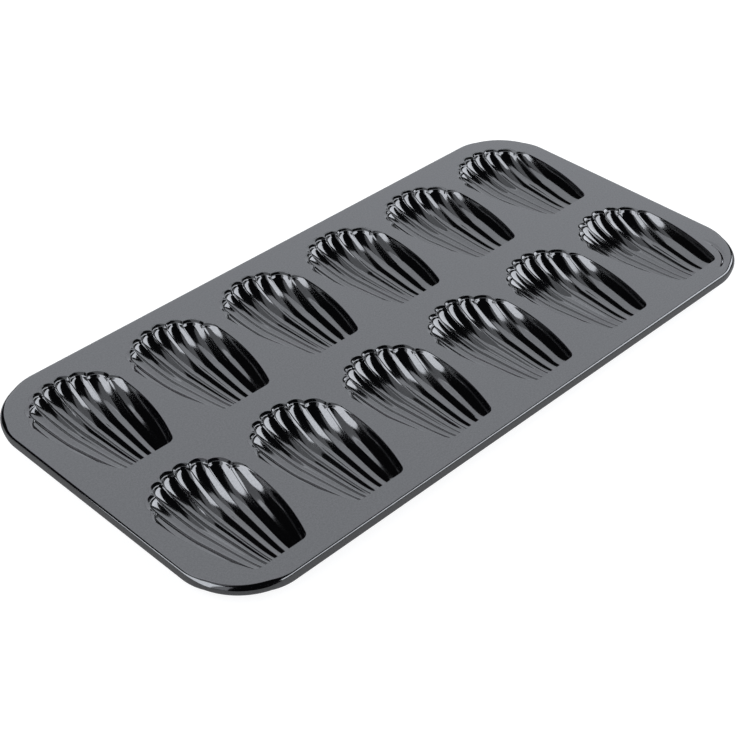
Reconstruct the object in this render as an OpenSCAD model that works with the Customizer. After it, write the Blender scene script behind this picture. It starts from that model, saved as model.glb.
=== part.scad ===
// Madeleine pan: one steel sheet pressed into a flat deck and twelve fluted shell cups,
// with its edge rolled round a stiffening wire.
// The deck lies in X (long way) and Y, the cups' scalloped ends point to +Y, and +Z is up.
// The origin is under the middle of the pan, at the height of the cups' lowest points.

/* [Pan] */
// Length over the rolled rim
pan_l = 400; // [365:1:440]
// Width over the rolled rim
pan_w = 198; // [180:1:240]
// Radius of the pan's corners, seen from above
corner_r = 35.5; // [25:0.5:45]
// Thickness of the steel sheet
sheet_t = 0.6; // [0.5:0.1:1]

/* [Rolled rim] */
// Outside diameter of the roll
rim_d = 6; // [5:0.1:7]
// Angle that the sheet wraps round the wire, from the deck
rim_wrap = 300; // [240:5:310]
// Clearance all round between the wire and the roll
wire_clear = 0.05; // [0.03:0.01:0.2]
// Gap between the two ends of the wire, in the back straight
wire_gap = 0.6; // [0.3:0.1:2]

/* [Cup layout] */
// Share of the free length that lies between the cups of a row, and not at its two ends
col_gap_share = 0.772; // [0.5:0.004:0.9]
// Share of the free width that lies between the two rows, and not outside them
row_gap_share = 0.548; // [0.3:0.004:0.8]

/* [Cup mouth] */
// Widest width of the mouth
mouth_w = 55.6; // [52:0.2:57]
// Distance from the flat end to the widest place
mouth_wide_y = 54; // [52:0.5:57]
// Radius of the long curve of each side
side_r = 125; // [115:1:160]
// Radius of the two corners at the flat end
mouth_corner_r = 4.6; // [3:0.2:7]
// Radius of the ring on which the points between the lobes stand
ring_r = 26; // [25:0.2:27]
// Distance from the flat end to the middle of that ring
ring_y = 50; // [48:0.5:51]
// Angle on the ring from one point to the next
lobe_angle = 19.25; // [18:0.25:20]
// Angle on the ring that the outer scallop takes
outer_lobe_angle = 24.5; // [22:0.5:26]
// How far each scallop stands beyond the line between its two points
lobe_rise = 2.7; // [2:0.1:3.2]
// The same for the rounded shoulder beside the outer scallop
shoulder_rise = 1.3; // [0.8:0.1:1.8]

/* [Cup hollow] */
// Depth from the deck's top face to the ridges between the flutes, where deepest
cup_depth = 12.6; // [10:0.2:16]
// How far a flute is sunk below its ridges, where it is as wide as its scallop
flute_rise = 0.8; // [0.4:0.1:1.6]
// Distance behind the flat end at which the lines of the ridges would meet
hinge_back = 50; // [40:1:62]
// Deepest place, as a share of the way from the flat end to the scallops
deep_share = 0.43; // [0.35:0.01:0.6]
// Squareness of the flat end's wall, where 2 is an ellipse
heel_power = 4; // [3:0.5:6]
// Squareness of the scalloped end's wall, where 2 is an ellipse
toe_power = 2; // [1.8:0.1:2.6]
// Squareness of the cross-section, where 2 is an ellipse
cross_power = 2.1; // [1.8:0.1:3]

/* [Hidden] */
ROWS = ["front", "back"];
COLS = 6;
function cup_name(row, col) = str("cup_", ROWS[row], "_", col + 1);

coat = "#3a3b3e";
bare_steel = "#9a9c9f";

// Half the number of flutes, the facets across one flute, and the cross rows of facets
HALF_COUNT = 4;
STEP_COUNT = 4;
ROW_AT = [0, 0.04, 0.14, 0.36, 0.62, 0.84, 0.95, 1];
LAST = len(ROW_AT) - 1;
ACROSS = 2 * HALF_COUNT * STEP_COUNT;

roll_r = rim_d / 2;
wire_d = rim_d - 2 * sheet_t - 2 * wire_clear;
deck_corner_r = corner_r - roll_r;
straight_x = pan_l - 2 * corner_r;
straight_y = pan_w - 2 * corner_r;
cusp_half = ring_r * sin(lobe_angle / 2);
lobe_r = (cusp_half * cusp_half + lobe_rise * lobe_rise) / (2 * lobe_rise);
mouth_l = ring_y + ring_r * cos(lobe_angle / 2) + lobe_rise;
col_pitch = mouth_w + col_gap_share * (pan_l - 2 * rim_d - COLS * mouth_w) / (COLS - 1);
row_pitch = mouth_l + row_gap_share * (pan_w - 2 * rim_d - 2 * mouth_l);

// Where neighbouring lobes meet when every wall moves outwards by grow
function cusp_shift(grow) = sqrt(pow(lobe_r + grow, 2) - pow(cusp_half, 2)) - (lobe_r - lobe_rise);

// The points between the lobes, from the axis (0) to the start of the side (HALF_COUNT)
function cusp(j, grow) =
    j == HALF_COUNT
    ? [mouth_w / 2 + grow, mouth_wide_y]
    : let (
          angle = j < HALF_COUNT - 1 ? j * lobe_angle : (j - 1) * lobe_angle + outer_lobe_angle,
          r = ring_r + cusp_shift(grow)
      ) [r * sin(angle), ring_y + r * cos(angle)];

// The bulge of the lobe between point j and the next
function rise(j, grow) =
    j == HALF_COUNT - 1
    ? shoulder_rise + (grow - cusp_shift(grow)) / 2
    : lobe_rise + grow - cusp_shift(grow);

// A point part way along an arc from p to q that bulges outwards by bulge
function on_arc(p, q, bulge, part) =
    let (
        chord = norm(q - p),
        along = (q - p) / chord,
        out = [-along[1], along[0]],
        half_angle = 2 * atan(2 * bulge / chord),
        r = chord / (2 * sin(half_angle)),
        turn = half_angle * (2 * part - 1)
    )
    (p + q) / 2 + out * (r * cos(turn) - r * cos(half_angle)) + along * (r * sin(turn));

// The scalloped end, where flute runs from -HALF_COUNT to HALF_COUNT across the cup
function toe(flute, grow) =
    let (
        f = abs(flute),
        j = min(floor(f), HALF_COUNT - 1),
        p = on_arc(cusp(j, grow), cusp(j + 1, grow), rise(j, grow), f - j)
    )
    [sign(flute) * p[0], p[1]];

// Half the mouth's width at a distance y from the flat end
function half_width(y, grow) =
    let (
        side_x = mouth_w / 2 - side_r,
        corner_x = side_x + sqrt(pow(side_r - mouth_corner_r, 2) - pow(mouth_wide_y - mouth_corner_r, 2)),
        meet = mouth_wide_y - (mouth_wide_y - mouth_corner_r) * (side_r + grow) / (side_r - mouth_corner_r)
    )
    y < meet
    ? corner_x + sqrt(max(0, pow(mouth_corner_r + grow, 2) - pow(mouth_corner_r - y, 2)))
    : side_x + sqrt(pow(side_r + grow, 2) - pow(mouth_wide_y - y, 2));

// Share of its width at the scallops that a flute has part way along, its ridges being straight in plan
function narrowing(s, end_y) = (s * end_y + hinge_back) / (end_y + hinge_back);

// Place in plan: flute across the cup, and s from 0 at the flat end to 1 at the scallops
function plan(flute, s, grow) =
    let (
        edge = toe(flute, grow),
        inner = toe(min(abs(flute), HALF_COUNT - 1), grow),
        line_x = inner[0] * narrowing(s, inner[1]),
        side_x = half_width(s * (mouth_wide_y + grow) - grow, grow),
        part = (abs(edge[0]) - inner[0]) / (mouth_w / 2 + grow - inner[0])
    )
    [sign(flute) * (line_x + part * (side_x - line_x)), s * (edge[1] + grow) - grow];

function squared(t, power) = pow(max(0, 1 - pow(min(1, t), power)), 1 / power);

// Share of the full depth along the cup, and across it
function lengthwise(s) =
    s < deep_share
    ? squared((deep_share - s) / deep_share, heel_power)
    : squared((s - deep_share) / (1 - deep_share), toe_power);
function crosswise(share) = squared(abs(share), cross_power);

// Depth of the hollow below the deck's top face
function depth(flute, s) =
    let (
        f = abs(flute),
        w = 2 * (f - floor(f)) - 1,
        share = plan(flute, s, 0)[0] / half_width(s * mouth_wide_y, 0),
        sunk = flute_rise * narrowing(s, toe(flute, 0)[1]) * (1 - w * w)
    )
    lengthwise(s) * (cup_depth * crosswise(share) + sunk);

function flute_at(i) = i / STEP_COUNT - HALF_COUNT;
drop = max([for (i = [0 : ACROSS]) for (s = ROW_AT) depth(flute_at(i), s)]);
deck_top = drop + sheet_t;

// The mouth's outline as grid places [i, k], once round against the clock from the left heel
rim_path = concat(
    [for (i = [0 : ACROSS - 1]) [i, 0]],
    [for (k = [0 : LAST - 1]) [ACROSS, k]],
    [for (i = [ACROSS : -1 : 1]) [i, LAST]],
    [for (k = [LAST : -1 : 1]) [0, k]]
);

function cup_x(col) = (col - (COLS - 1) / 2) * col_pitch;
function cup_y(row) = (row - 0.5) * row_pitch - mouth_l / 2;

module rounded_plan(x, y, r) {
    square([x + 2 * r, y], center = true);
    square([x, y + 2 * r], center = true);
    for (sx = [-1, 1])
        for (sy = [-1, 1])
            translate([sx * x / 2, sy * y / 2]) circle(r, $fn = 96);
}

module mouth() {
    polygon([for (p = rim_path) plan(flute_at(p[0]), ROW_AT[p[1]], 0)]);
}

// The flat part of the sheet, with an opening for each cup
module deck() {
    color(coat)
        translate([0, 0, deck_top - sheet_t])
            linear_extrude(sheet_t)
                difference() {
                    rounded_plan(straight_x, straight_y, deck_corner_r);
                    for (row = [0 : 1])
                        for (col = [0 : COLS - 1])
                            translate([cup_x(col), cup_y(row)]) mouth();
                }
}

// Sweeps a section once round the deck's edge, the section's x being measured outwards from it
module round_the_edge() {
    for (side = [0 : 3]) {
        length = side % 2 == 0 ? straight_x : straight_y;
        out = side % 2 == 0 ? straight_y : straight_x;
        rotate([0, 0, 90 * side]) {
            translate([length / 2, -out / 2 - deck_corner_r, deck_top - roll_r])
                rotate([90, 0, -90])
                    linear_extrude(length) children();
            translate([length / 2, -out / 2, deck_top - roll_r])
                rotate([0, 0, -90])
                    rotate_extrude(angle = 90, $fn = 96)
                        translate([deck_corner_r, 0]) children();
        }
    }
}

module roll_section() {
    open = 360 - rim_wrap;
    reach = 2 * roll_r;
    difference() {
        circle(roll_r, $fn = 64);
        circle(roll_r - sheet_t, $fn = 64);
        polygon([
            [0, 0],
            [0, reach],
            [-reach * tan(open / 2), reach],
            [-reach * sin(open), reach * cos(open)]
        ]);
    }
}

// The edge of the sheet, curled down and round
module rolled_rim() {
    color(coat) round_the_edge() roll_section();
}

// The stiffening wire inside the roll, its ends meeting in the back straight
module rim_wire() {
    color(bare_steel)
        difference() {
            round_the_edge() circle(d = wire_d, $fn = 48);
            translate([0, straight_y / 2 + deck_corner_r, deck_top - roll_r])
                cube([wire_gap, rim_d, rim_d], center = true);
        }
}

// One pressed cup: the hollow's face, the outer face one sheet below it, and the edge between them
module cup_shell() {
    inner = [for (i = [0 : ACROSS]) for (s = ROW_AT)
        concat(plan(flute_at(i), s, 0), [-depth(flute_at(i), s)])];
    outer = [for (i = [0 : ACROSS]) for (s = ROW_AT)
        concat(plan(flute_at(i), s, sheet_t), [-depth(flute_at(i), s) - sheet_t])];
    seat = [for (p = rim_path) concat(plan(flute_at(p[0]), ROW_AT[p[1]], 0), [-sheet_t])];
    count = len(inner);
    around = len(rim_path);
    function at(p) = p[0] * (LAST + 1) + p[1];
    polyhedron(
        points = concat(inner, outer, seat),
        faces = concat(
            [for (i = [0 : ACROSS - 1]) for (k = [0 : LAST - 1])
                each [[at([i, k]), at([i, k + 1]), at([i + 1, k + 1])],
                      [at([i, k]), at([i + 1, k + 1]), at([i + 1, k])]]],
            [for (i = [0 : ACROSS - 1]) for (k = [0 : LAST - 1])
                each [[count + at([i, k]), count + at([i + 1, k + 1]), count + at([i, k + 1])],
                      [count + at([i, k]), count + at([i + 1, k]), count + at([i + 1, k + 1])]]],
            [for (n = [0 : around - 1]) let (m = (n + 1) % around)
                each [[at(rim_path[n]), at(rim_path[m]), 2 * count + m],
                      [at(rim_path[n]), 2 * count + m, 2 * count + n],
                      [2 * count + n, 2 * count + m, count + at(rim_path[m])],
                      [2 * count + n, count + at(rim_path[m]), count + at(rim_path[n])]]]
        )
    );
}

module cup(row, col) {
    color(coat) translate([cup_x(col), cup_y(row), deck_top]) cup_shell();
}

deck();
rolled_rim();
rim_wire();
for (row = [0 : 1])
    for (col = [0 : COLS - 1])
        cup(row, col);
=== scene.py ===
import math

import bmesh
import bpy
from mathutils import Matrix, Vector
from mathutils.kdtree import KDTree


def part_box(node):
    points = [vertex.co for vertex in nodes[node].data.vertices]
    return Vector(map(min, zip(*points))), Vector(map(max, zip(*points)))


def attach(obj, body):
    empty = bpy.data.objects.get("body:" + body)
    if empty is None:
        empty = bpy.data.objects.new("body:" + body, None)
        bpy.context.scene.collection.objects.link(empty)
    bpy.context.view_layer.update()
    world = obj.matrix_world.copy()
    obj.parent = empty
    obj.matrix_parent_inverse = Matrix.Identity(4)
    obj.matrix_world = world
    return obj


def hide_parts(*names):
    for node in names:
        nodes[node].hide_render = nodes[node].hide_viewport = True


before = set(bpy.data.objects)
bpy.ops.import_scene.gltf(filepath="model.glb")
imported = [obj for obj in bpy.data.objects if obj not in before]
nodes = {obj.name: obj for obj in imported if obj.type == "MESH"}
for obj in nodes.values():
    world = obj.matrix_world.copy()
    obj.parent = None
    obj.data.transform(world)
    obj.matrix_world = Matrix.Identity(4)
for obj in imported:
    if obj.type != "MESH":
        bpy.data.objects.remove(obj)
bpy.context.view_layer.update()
mm = 0.001
print("frame loaded,", len(nodes), "nodes")


# Camera
cameraSetup = {
    "place": (-508.8, -478.1, 529.7),  # mm from the middle of the pan's foot
    "turn": (51.930, -0.579, -45.303),  # degrees
    "lens": 79.34,
    "sensor": 36,
    "nearest": 0.05,  # m
    "farthest": 20,
}


def addCamera(setup):
    bpy.ops.object.camera_add(
        location=[c * mm for c in setup["place"]],
        rotation=[math.radians(a) for a in setup["turn"]],
    )
    cam = bpy.context.object
    cam.name = "photoCamera"
    cam.data.lens = setup["lens"]
    cam.data.sensor_width = setup["sensor"]
    cam.data.clip_start = setup["nearest"]
    cam.data.clip_end = setup["farthest"]
    bpy.context.scene.camera = cam


addCamera(cameraSetup)


# Materials
def toLinear(hexColour):
    parts = [int(hexColour[i : i + 2], 16) / 255 for i in (1, 3, 5)]
    return [c / 12.92 if c <= 0.04045 else ((c + 0.055) / 1.055) ** 2.4 for c in parts] + [1]


def addNode(tree, kind, settings=None, links=None):
    node = tree.nodes.new(kind)
    for key, value in (settings or {}).items():
        if key in node.inputs:
            node.inputs[key].default_value = value
        else:
            setattr(node, key, value)
    for key, source in (links or {}).items():
        tree.links.new(source, node.inputs[key])
    return node


def startMaterial(name):
    mat = bpy.data.materials.new(name)
    mat.use_nodes = True
    mat.node_tree.nodes.clear()
    return mat, mat.node_tree


coatLook = {
    "colour": "#020203",
    "roughness": 0.1,
    "ior": 2.05,  # a hard-baked film over bright primer mirrors more than plain enamel
    "grainSize": 0.9,  # mm between the soft swells of the cured film
    "grainHeight": 0.002,  # mm
    "grainDetail": 2.0,
    "grainRange": (0.3, 0.7),  # nearly all of the noise lies between these
    "speckle": 0.045,  # how much the film's gloss wanders from swell to swell
}


def nonStickCoat(look):
    # silicone-polyester non-stick enamel, sprayed and baked on steel: near black, even satin gloss
    mat, tree = startMaterial("nonStickCoat")
    coords = addNode(tree, "ShaderNodeTexCoord")
    swell = addNode(
        tree,
        "ShaderNodeTexNoise",
        {"Scale": 1 / (look["grainSize"] * mm), "Detail": look["grainDetail"]},
        {"Vector": coords.outputs["Object"]},
    )
    bump = addNode(
        tree,
        "ShaderNodeBump",
        {"Strength": 1.0, "Distance": look["grainHeight"] * mm},
        {"Height": swell.outputs["Fac"]},
    )
    low, high = look["grainRange"]
    gloss = addNode(
        tree,
        "ShaderNodeMapRange",
        {
            "From Min": low,
            "From Max": high,
            "To Min": 0.5 - look["speckle"],
            "To Max": 0.5 + look["speckle"],
        },
        {"Value": swell.outputs["Fac"]},
    )
    shader = addNode(
        tree,
        "ShaderNodeBsdfPrincipled",
        {"Base Color": toLinear(look["colour"]), "Roughness": look["roughness"], "IOR": look["ior"]},
        {"Normal": bump.outputs["Normal"], "Specular IOR Level": gloss.outputs["Result"]},
    )
    addNode(tree, "ShaderNodeOutputMaterial", links={"Surface": shader.outputs["BSDF"]})
    return mat


wireLook = {
    "colour": "#a9acb0",
    "roughness": (0.28, 0.42),
    "grainSize": 0.25,  # mm
    "grainDetail": 1.0,
}


def drawnWire(look):
    # bright drawn steel wire: its gloss wanders finely where the die has rubbed it
    mat, tree = startMaterial("drawnSteelWire")
    coords = addNode(tree, "ShaderNodeTexCoord")
    grain = addNode(
        tree,
        "ShaderNodeTexNoise",
        {"Scale": 1 / (look["grainSize"] * mm), "Detail": look["grainDetail"]},
        {"Vector": coords.outputs["Object"]},
    )
    rough = addNode(
        tree,
        "ShaderNodeMapRange",
        {"To Min": look["roughness"][0], "To Max": look["roughness"][1]},
        {"Value": grain.outputs["Fac"]},
    )
    shader = addNode(
        tree,
        "ShaderNodeBsdfPrincipled",
        {"Base Color": toLinear(look["colour"]), "Metallic": 1.0},
        {"Roughness": rough.outputs["Result"]},
    )
    addNode(tree, "ShaderNodeOutputMaterial", links={"Surface": shader.outputs["BSDF"]})
    return mat


coat = nonStickCoat(coatLook)
wireSteel = drawnWire(wireLook)
print("materials made")


# The pan's sizes, in mm as all that follows up to the lights
pan = {
    "long": 400,
    "wide": 198,
    "cornerRadius": 35.5,
    "sheet": 0.6,
    "roll": 6,  # outside diameter of the rolled edge
    "rows": ("front", "back"),
    "columns": 6,
    "columnPitch": 64,
    "rowPitch": 94.4,
}
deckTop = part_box("deck")[1].z / mm
samePlace = 0.001  # vertices closer together than this are one
creaseAngle = 40  # degrees, from which an edge is drawn sharp


def smooth(t):
    t = min(1, max(0, t))
    return t * t * (3 - 2 * t)


def mergeTwins():
    bpy.ops.mesh.select_all(action="SELECT")
    bpy.ops.mesh.remove_doubles(threshold=samePlace)


def thicken(piece):
    # the sheet's thickness lies under the skin that is seen
    solid = piece.modifiers.new("sheet", "SOLIDIFY")
    solid.thickness = pan["sheet"]
    solid.offset = -1
    bpy.ops.object.modifier_apply(modifier=solid.name)


def smoothAndCoat(piece):
    bpy.ops.object.select_all(action="DESELECT")
    piece.select_set(True)
    bpy.ops.object.shade_smooth_by_angle(angle=math.radians(creaseAngle))
    piece.data.materials.append(coat)


# Shell cups, drawn with the middle of the mouth's flat end at 0, 0 and the scallops towards +Y
cupForm = {
    "width": 55.6,
    "length": 78.334,
    "widestAt": 54,
    "sideRadius": 125,
    "heelRadius": 4.6,
    "ringRadius": 26,
    "ringAt": 50,
    "flutes": 4,  # on each side of the middle
    "lobeTurn": 19.25,  # degrees
    "outerLobeTurn": 24.5,
    "lobeRise": 2.7,
    "shoulderRise": 1.3,
    "hingeBack": 50,  # the ridges' lines would meet this far behind the flat end
    "depth": 11.87,  # down to the ridges
    "deepAt": 0.58,
    "heelPower": 4.52,
    "toePower": 1.55,
    "crossPower": 1.75,
    "heelRise": 0.54,  # how far a flute sinks under its ridges, at the flat end and at the scallops
    "toeRise": 1.41,
    "risePower": 1.39,
    "riseFade": 2.04,
    "channelShares": (1, 1.04, 1.20, 1.70),  # of that sinking, from the middle flute outwards
    # where a flute's lowest line lies between its inner ridge, -1, and its outer one, 1
    "lowSide": -0.17,
    "bowPower": 1.61,
    "sharpness": 0.18,
    "lip": 0.9,  # width of the rounding into the deck
    "brim": 2.1,  # the scallops round over outside the flutes, this wide
    "brimSink": 0.8,
    "brimPower": 1.3,
    "brimSteps": 12,
    "stepsPerFlute": 16,
    "crowding": 1.7,  # of the steps in the outermost flutes, towards the side
    "stepsAlong": 90,
    "markGap": 0.1,  # between the points that stand for the mouth's edge
}


def arcPoint(p, q, rise, part):
    chord = (q - p).length
    along = (q - p) / chord
    out = Vector((-along.y, along.x))
    halfTurn = 2 * math.atan(2 * rise / chord)
    radius = chord / (2 * math.sin(halfTurn))
    turn = halfTurn * (2 * part - 1)
    bulge = radius * (math.cos(turn) - math.cos(halfTurn))
    return (p + q) / 2 + out * bulge + along * radius * math.sin(turn)


def lobePoint(flute, form):
    # a place on the scalloped end, counted in flutes from the middle
    last = form["flutes"] - 1
    turns = [n * form["lobeTurn"] for n in range(last)]
    turns.append(turns[-1] + form["outerLobeTurn"])
    points = []
    for turn in turns:
        spoke = Vector((math.sin(math.radians(turn)), math.cos(math.radians(turn))))
        points.append(spoke * form["ringRadius"] + Vector((0, form["ringAt"])))
    points.append(Vector((form["width"] / 2, form["widestAt"])))
    f = min(abs(flute), form["flutes"] - 1e-6)
    j = int(f)
    rise = form["shoulderRise"] if j == last else form["lobeRise"]
    p = arcPoint(points[j], points[j + 1], rise, f - j)
    return Vector((math.copysign(p.x, flute), p.y))


def brimPoint(flute, form):
    return lobePoint(flute, {**form, "ringRadius": form["ringRadius"] + form["brim"]})


def halfWidth(y, form):
    side, heel = form["sideRadius"], form["heelRadius"]
    sideX = form["width"] / 2 - side
    heelX = sideX + math.sqrt((side - heel) ** 2 - (form["widestAt"] - heel) ** 2)
    meet = form["widestAt"] - (form["widestAt"] - heel) * side / (side - heel)
    if y < meet:
        return heelX + math.sqrt(max(0, heel**2 - (heel - y) ** 2))
    return sideX + math.sqrt(side**2 - (form["widestAt"] - y) ** 2)


def squared(t, power):
    return max(0, 1 - min(1, t) ** power) ** (1 / power)


def narrowing(s, endY, form):
    # share of its width at the scallops that a flute still has at s
    return (s * endY + form["hingeBack"]) / (endY + form["hingeBack"])


def planPoint(flute, lobe, s, form):
    # inside the outermost ridges the flutes are fans of straight lines; the last flute fills up to the side
    inner = lobePoint(min(form["flutes"] - 1, abs(flute)), form)
    line = inner.x * narrowing(s, inner.y, form)
    side = halfWidth(s * form["widestAt"], form)
    part = max(0, (abs(lobe.x) - inner.x) / (form["width"] / 2 - inner.x))
    return math.copysign(line + part * (side - line), flute), s * lobe.y


def fluteBow(w, form):
    # section of one flute: 0 at its two ridges, 1 at its lowest line
    w = (w - form["lowSide"]) / (1 - form["lowSide"] * w)
    crisp = 1 - abs(w) ** form["bowPower"]
    soft = (1 + math.cos(math.pi * w)) / 2
    return form["sharpness"] * crisp + (1 - form["sharpness"]) * soft


def hollowDepth(flute, x, s, form):
    deepAt = form["deepAt"]
    if s < deepAt:
        lengthwise = squared((deepAt - s) / deepAt, form["heelPower"])
    else:
        lengthwise = squared((s - deepAt) / (1 - deepAt), form["toePower"])
    share = abs(x) / halfWidth(s * form["widestAt"], form)
    channel = min(form["flutes"] - 1, int(abs(flute)))
    bow = fluteBow(2 * (abs(flute) - channel) - 1, form)
    rise = form["heelRise"] + (form["toeRise"] - form["heelRise"]) * s ** form["risePower"]
    sunk = rise * form["channelShares"][channel] * bow
    ridges = lengthwise * form["depth"] * squared(share, form["crossPower"])
    return ridges + lengthwise ** form["riseFade"] * sunk


def easedSteps(count):
    # places from 0 to 1 that lie closer together towards both ends
    return [(1 - math.cos(math.pi * i / count)) / 2 for i in range(count + 1)]


def fluteSteps(form):
    # places across all the flutes; in the two outermost they lie closer together towards the side
    count = form["stepsPerFlute"]
    inner = [i / count for i in range((form["flutes"] - 1) * count)]
    outer = [form["flutes"] - (1 - i / count) ** form["crowding"] for i in range(count + 1)]
    half = inner + outer
    return [-f for f in half[:0:-1]] + half


def cupOutline(form):
    lobes = [brimPoint(f, form) for f in fluteSteps(form)]
    steps = easedSteps(form["stepsAlong"])
    right = [Vector((halfWidth(s * form["widestAt"], form), s * form["widestAt"])) for s in steps]
    left = [Vector((-p.x, p.y)) for p in right]
    return right[:-1] + lobes[:0:-1] + left[:0:-1] + left[:1]


def mouthEdge(form):
    # finds how far a place lies from the edge of the mouth, without its brim
    outline = cupOutline({**form, "brim": 0})
    marks = []
    for a, b in zip(outline, outline[1:] + outline[:1]):
        parts = max(1, round((b - a).length / form["markGap"]))
        marks += [a.lerp(b, n / parts) for n in range(parts)]
    edge = KDTree(len(marks))
    for n, p in enumerate(marks):
        edge.insert((p.x, p.y, 0), n)
    edge.balance()
    return edge


def makeCup(form):
    # a flat grid, one column of faces for each step across the flutes, pressed down into the shell form
    across = 2 * form["flutes"] * form["stepsPerFlute"]
    along = form["stepsAlong"]
    total = along + form["brimSteps"]
    bpy.ops.object.select_all(action="DESELECT")
    bpy.ops.mesh.primitive_grid_add(x_subdivisions=across, y_subdivisions=total, size=2)
    cup = bpy.context.object
    cup.name = "cupPattern"
    steps = easedSteps(along)
    flutes = fluteSteps(form)
    lobes = [lobePoint(f, form) for f in flutes]
    brims = [brimPoint(f, form) for f in flutes]
    edge = mouthEdge(form)
    for v in cup.data.vertices:
        i = round((v.co.x + 1) / 2 * across)
        k = round((v.co.y + 1) / 2 * total)
        flute, lobe = flutes[i], lobes[i]
        # how deep the brim starts, less where it is narrower
        dip = (brims[i] - lobe).length / form["brim"] * form["brimSink"]
        if k > along:
            part = (k - along) / form["brimSteps"]
            x, y = lobe.lerp(brims[i], part)
            depth = dip * (1 - part) ** form["brimPower"]
        else:
            s = steps[k]
            x, y = planPoint(flute, lobe, s, form)
            depth = 0
            if 0 < i < across and 0 < k:
                near = edge.find((x, y, 0))[2] / form["lip"]
                depth = hollowDepth(flute, x, s, form) * smooth(near) + dip * s * s
        v.co = Vector((x, y, -depth))
    # the brim runs out to nothing at the shoulders, where its rows meet in one point
    bpy.ops.object.mode_set(mode="EDIT")
    mergeTwins()
    bpy.ops.object.mode_set(mode="OBJECT")
    skin = len(cup.data.vertices)
    thicken(cup)
    for v in cup.data.vertices[skin:]:
        v.co.z = min(v.co.z, -pan["sheet"] / 2)  # its cut edge stays under the deck's face
    bpy.ops.object.shade_smooth()
    return cup


def cupPlace(row, column):
    # middle of the flat end of a cup's mouth
    x = (column - (pan["columns"] - 1) / 2) * pan["columnPitch"]
    y = (row - (len(pan["rows"]) - 1) / 2) * pan["rowPitch"] - cupForm["length"] / 2
    return x, y


def layCups(pattern):
    # the one pattern is copied to every place, each copy with its own mesh
    for row, rowName in enumerate(pan["rows"]):
        for column in range(pan["columns"]):
            x, y = cupPlace(row, column)
            mesh = pattern.data.copy()
            for v in mesh.vertices:
                v.co = Vector((v.co.x + x, v.co.y + y, v.co.z + deckTop)) * mm
            name = f"shellCup_{rowName}_{column + 1}"
            cup = bpy.data.objects.new(name, mesh)
            bpy.context.collection.objects.link(cup)
            cup.data.materials.append(coat)
            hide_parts(f"cup_{rowName}_{column + 1}")
            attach(cup, "root")
    bpy.data.objects.remove(pattern)


layCups(makeCup(cupForm))
print("cups made")


# Flat sheet between the cups
deckForm = {"cornerSteps": 32}

# the tool leaves one soft crescent in the sheet, between a cup and the rim at the front right corner
pressMark = {
    "middle": (165.5, -73),  # of the circle that the crescent is part of
    "radius": 20.8,
    "halfWidth": 1.7,
    "sink": 0.46,
    "facing": -38,  # degrees, of the crescent's own middle
    "halfSpan": 50,
    "level": 0.4,  # share of its length that is sunk in full
    "rows": 14,
    "steps": 60,
}


def pressMarkRows(form):
    lines = []
    for row in range(form["rows"] + 1):
        across = 2 * row / form["rows"] - 1
        radius = form["radius"] + across * form["halfWidth"]
        line = []
        for step in range(form["steps"] + 1):
            along = 2 * step / form["steps"] - 1
            turn = math.radians(form["facing"] + along * form["halfSpan"])
            spoke = Vector((math.cos(turn), math.sin(turn), 0)) * radius
            fade = smooth((abs(along) - form["level"]) / (1 - form["level"]))
            sink = form["sink"] * (1 - smooth(abs(across))) * (1 - fade)
            line.append(Vector((*form["middle"], -sink)) + spoke)
        lines.append(line)
    return lines


def addRing(shape, points):
    ring = [shape.verts.new(p) for p in points]
    for a, b in zip(ring, ring[1:] + ring[:1]):
        shape.edges.new((a, b))


def addGrid(shape, lines):
    grid = [[shape.verts.new(p) for p in line] for line in lines]
    for near, far in zip(grid, grid[1:]):
        for i in range(len(near) - 1):
            shape.faces.new((near[i], far[i], far[i + 1], near[i + 1]))


def makeDeck(form):
    edge = pan["roll"] / 2
    bpy.ops.object.select_all(action="DESELECT")
    bpy.ops.mesh.primitive_plane_add(size=1)
    deck = bpy.context.object
    deck.name = "deckSheet"
    for v in deck.data.vertices:
        v.co = Vector((v.co.x * (pan["long"] - 2 * edge), v.co.y * (pan["wide"] - 2 * edge), 0))
    bpy.ops.object.mode_set(mode="EDIT")
    bpy.ops.mesh.select_all(action="SELECT")
    bpy.ops.mesh.bevel(
        offset=pan["cornerRadius"] - edge,
        segments=form["cornerSteps"],
        affect="VERTICES",
        clamp_overlap=False,
    )
    bpy.ops.mesh.select_all(action="SELECT")
    bpy.ops.mesh.delete(type="ONLY_FACE")
    shape = bmesh.from_edit_mesh(deck.data)
    outline = cupOutline(cupForm)
    for row in range(len(pan["rows"])):
        for column in range(pan["columns"]):
            x, y = cupPlace(row, column)
            addRing(shape, [(p.x + x, p.y + y, 0) for p in outline])
    mark = pressMarkRows(pressMark)
    lastEnds = [line[-1] for line in mark[1:-1]]
    firstEnds = [line[0] for line in mark[-2:0:-1]]
    addRing(shape, mark[0] + lastEnds + mark[-1][::-1] + firstEnds)
    bmesh.update_edit_mesh(deck.data)
    bpy.ops.mesh.select_all(action="SELECT")
    bpy.ops.mesh.fill(use_beauty=True)  # fills between the outer edge, the mouths and the mark
    shape = bmesh.from_edit_mesh(deck.data)
    addGrid(shape, mark)
    bmesh.update_edit_mesh(deck.data)
    mergeTwins()
    bpy.ops.mesh.normals_make_consistent(inside=False)
    bpy.ops.object.mode_set(mode="OBJECT")
    if deck.data.polygons[0].normal.z < 0:
        deck.data.flip_normals()
    thicken(deck)
    for v in deck.data.vertices:
        v.co = Vector((v.co.x, v.co.y, v.co.z + deckTop)) * mm
    smoothAndCoat(deck)
    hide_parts("deck")
    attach(deck, "root")


makeDeck(deckForm)
print("deck made")


# Rolled rim
rimForm = {
    "wrap": 300,
    "roundSteps": 90,
    "cornerSteps": 32,
    "squareness": 5,  # of the outer half along the straight sides; it is round, 2, in the corners
    "cornerFade": 1.6,  # how soon the squareness is gone where a corner begins
}


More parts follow.
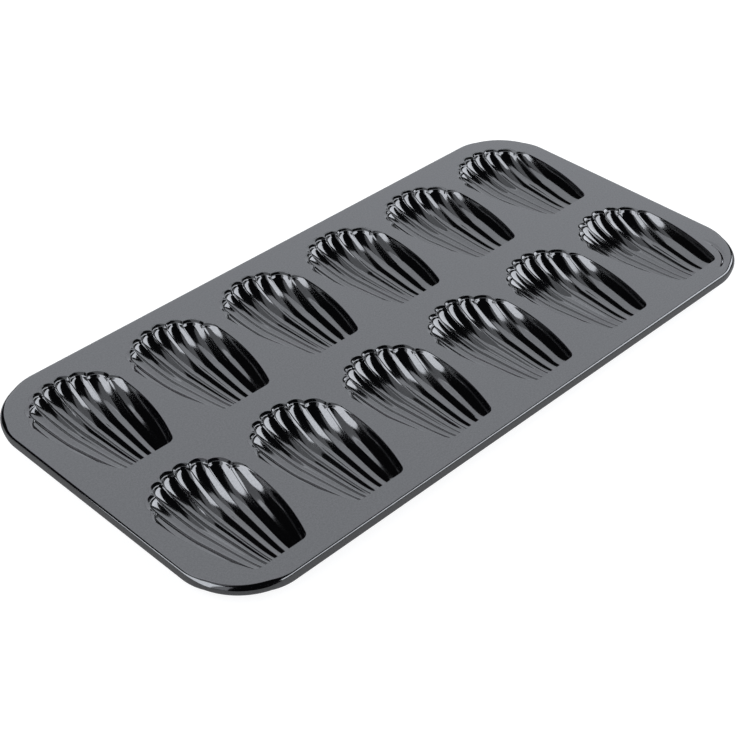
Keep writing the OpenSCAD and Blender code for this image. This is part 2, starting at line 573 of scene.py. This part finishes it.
def curlLine():
    # half lengths of the straight sides, and the corner radius of the line in the middle of the curl
    corner = pan["cornerRadius"]
    return pan["long"] / 2 - corner, pan["wide"] / 2 - corner, corner - pan["roll"] / 2


def drawCurl(rim, form):
    # the section starts at the end of one long side, open towards the middle of the pan
    halfLong, halfWide, corner = curlLine()
    start = Vector((halfLong, -halfWide - corner, deckTop - pan["roll"] / 2))
    shape = bmesh.from_edit_mesh(rim.data)
    gone = []
    for v in shape.verts:
        turn = math.degrees(math.atan2(v.co.x, v.co.y)) % 360  # from the top, outwards and down
        if turn > form["wrap"] + 180 / form["roundSteps"]:
            gone.append(v)
    bmesh.ops.delete(shape, geom=gone, context="VERTS")
    for v in shape.verts:
        v.co = start + Vector((0, -v.co.x, v.co.y))
    bmesh.update_edit_mesh(rim.data)


def sweepCurl(form):
    # spun round each corner and pulled along each side
    x, y, corner = curlLine()
    middles = [(x, -y), (x, y), (-x, y), (-x, -y)]
    pulls = [(0, 2 * y), (-2 * x, 0), (0, -2 * y), (2 * x, 0)]
    bpy.ops.mesh.select_all(action="SELECT")
    for middle, pull in zip(middles, pulls):
        bpy.ops.mesh.spin(
            steps=form["cornerSteps"], angle=math.radians(90), center=(*middle, 0), axis=(0, 0, -1)
        )
        bpy.ops.mesh.extrude_edges_move(TRANSFORM_OT_translate={"value": (*pull, 0)})
    mergeTwins()
    bpy.ops.mesh.normals_make_consistent(inside=False)


def squareCurl(rim, form):
    # the press leaves the curl flatter on top and at the side where it runs straight
    halfLong, halfWide, corner = curlLine()
    roll = pan["roll"] / 2
    for v in rim.data.vertices:
        x = min(halfLong, max(-halfLong, v.co.x))
        y = min(halfWide, max(-halfWide, v.co.y))
        away = Vector((v.co.x - x, v.co.y - y, 0))
        out = (away.length - corner) / roll
        up = (v.co.z - deckTop + roll) / roll
        if out > 0:
            bend = abs(2 * away.x * away.y) / away.length_squared  # 0 on a straight side
            straight = 1 - min(1, form["cornerFade"] * bend)
            power = 2 + (form["squareness"] - 2) * straight
            grow = (abs(out) ** power + abs(up) ** power) ** (-1 / power)
            side = away.normalized() * (corner + out * grow * roll)
            v.co = Vector((x, y, deckTop - roll + up * grow * roll)) + side


def makeRim(form):
    bpy.ops.object.select_all(action="DESELECT")
    bpy.ops.mesh.primitive_circle_add(vertices=form["roundSteps"], radius=pan["roll"] / 2)
    rim = bpy.context.object
    rim.name = "rolledEdge"
    bpy.ops.object.mode_set(mode="EDIT")
    drawCurl(rim, form)
    sweepCurl(form)
    bpy.ops.object.mode_set(mode="OBJECT")
    squareCurl(rim, form)
    # outside faces look away from the middle of the curl
    face = max(rim.data.polygons, key=lambda f: f.center.x)
    if face.normal.x < 0:
        rim.data.flip_normals()
    thicken(rim)
    for v in rim.data.vertices:
        v.co = v.co * mm
    smoothAndCoat(rim)
    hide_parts("rolled_rim")
    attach(rim, "root")


makeRim(rimForm)
print("rim made")

nodes["rim_wire"].data.materials.clear()
nodes["rim_wire"].data.materials.append(wireSteel)


# Floor, lights and surroundings, in metres
stageLook = {
    "floorSize": 8,
    "floorColour": "#f2f2f2",
    "shadeColour": "#8c8c8c",  # the part of the paper's white that the lamps give, and a shadow takes
    "floorGlow": 0.86,  # the rest of its white
    "floorMirrored": 0.22,  # the same, as the coat's mirror sees it next to the dark pan
    "surround": 0.008,
}


def makeFloor(look):
    bpy.ops.object.select_all(action="DESELECT")
    bpy.ops.mesh.primitive_plane_add(size=look["floorSize"])
    floor = bpy.context.object
    floor.name = "paleFloor"
    mat, tree = startMaterial("mattWhitePaper")
    rays = addNode(tree, "ShaderNodeLightPath")
    seen = addNode(
        tree,
        "ShaderNodeMath",
        {"operation": "MAXIMUM"},
        {0: rays.outputs["Is Camera Ray"], 1: rays.outputs["Is Glossy Ray"]},
    )
    level = addNode(
        tree,
        "ShaderNodeMapRange",
        {"To Min": look["floorMirrored"], "To Max": look["floorGlow"]},
        {"Value": rays.outputs["Is Camera Ray"]},
    )
    paper = addNode(tree, "ShaderNodeBsdfDiffuse", {"Color": toLinear(look["floorColour"])})
    shade = addNode(tree, "ShaderNodeBsdfDiffuse", {"Color": toLinear(look["shadeColour"])})
    glow = addNode(
        tree, "ShaderNodeEmission", {"Color": (1, 1, 1, 1)}, {"Strength": level.outputs["Result"]}
    )
    both = addNode(tree, "ShaderNodeAddShader", links={0: shade.outputs[0], 1: glow.outputs[0]})
    pick = addNode(
        tree,
        "ShaderNodeMixShader",
        links={"Fac": seen.outputs[0], 1: paper.outputs[0], 2: both.outputs[0]},
    )
    addNode(tree, "ShaderNodeOutputMaterial", links={"Surface": pick.outputs[0]})
    floor.data.materials.append(mat)


def makeSurround(look):
    world = bpy.data.worlds.new("studio")
    world.use_nodes = True
    tree = world.node_tree
    tree.nodes.clear()
    rays = addNode(tree, "ShaderNodeLightPath")
    dim = addNode(tree, "ShaderNodeBackground", {"Color": (1, 1, 1, 1), "Strength": look["surround"]})
    white = addNode(tree, "ShaderNodeBackground", {"Color": (1, 1, 1, 1), "Strength": 1.0})
    pick = addNode(
        tree,
        "ShaderNodeMixShader",
        links={"Fac": rays.outputs["Is Camera Ray"], 1: dim.outputs[0], 2: white.outputs[0]},
    )
    addNode(tree, "ShaderNodeOutputWorld", links={"Surface": pick.outputs[0]})
    bpy.context.scene.world = world


# standing flats and hung boxes round the pan: azimuth and facing in degrees, the rest in metres,
# and the glow of the panel itself, where 1 is white
lampColour = "#f3f7ff"
lights = {
    "farPanel": {
        "azimuth": 50.8, "away": 1.2, "height": 1.65, "facing": 0, "size": (1.86, 2.83), "glow": 1.34,
    },
    "rightPanel": {
        "azimuth": -43.7, "away": 1.2, "height": 0.96, "facing": 0, "size": (2.61, 1.15), "glow": 4.20,
    },
    "leftBox": {
        "azimuth": 167.6, "away": 1.3, "height": 1.44, "facing": 0, "size": (1.03, 2.71), "glow": 4.31,
    },
    "leftWall": {
        "azimuth": 198.8, "away": 1.35, "height": 1.27, "facing": 0, "size": (0.45, 2.31), "glow": 0.98,
    },
    "overheadBox": {
        "azimuth": 111.6, "away": 0.55, "height": 1.52, "facing": 69, "size": (1.00, 0.74), "glow": 0.60,
    },
}


def addLight(name, look):
    turn, lift = math.radians(look["azimuth"]), math.radians(look["facing"])
    across = Vector((math.cos(turn), math.sin(turn), 0))
    back = across * math.cos(lift) + Vector((0, 0, math.sin(lift)))
    place = across * look["away"] + Vector((0, 0, look["height"]))
    bpy.ops.object.light_add(type="AREA", location=place)
    lamp = bpy.context.object
    lamp.name = name
    lamp.rotation_euler = back.to_track_quat("Z", "Y").to_euler()
    lamp.data.shape = "RECTANGLE"
    lamp.data.size, lamp.data.size_y = look["size"]
    lamp.data.color = toLinear(lampColour)[:3]
    lamp.data.energy = look["glow"] * math.pi * look["size"][0] * look["size"][1]
    lamp.visible_camera = False


makeFloor(stageLook)
makeSurround(stageLook)
for lightName, lightLook in lights.items():
    addLight(lightName, lightLook)
print("stage made")

bpy.context.scene.view_settings.view_transform = "Standard"
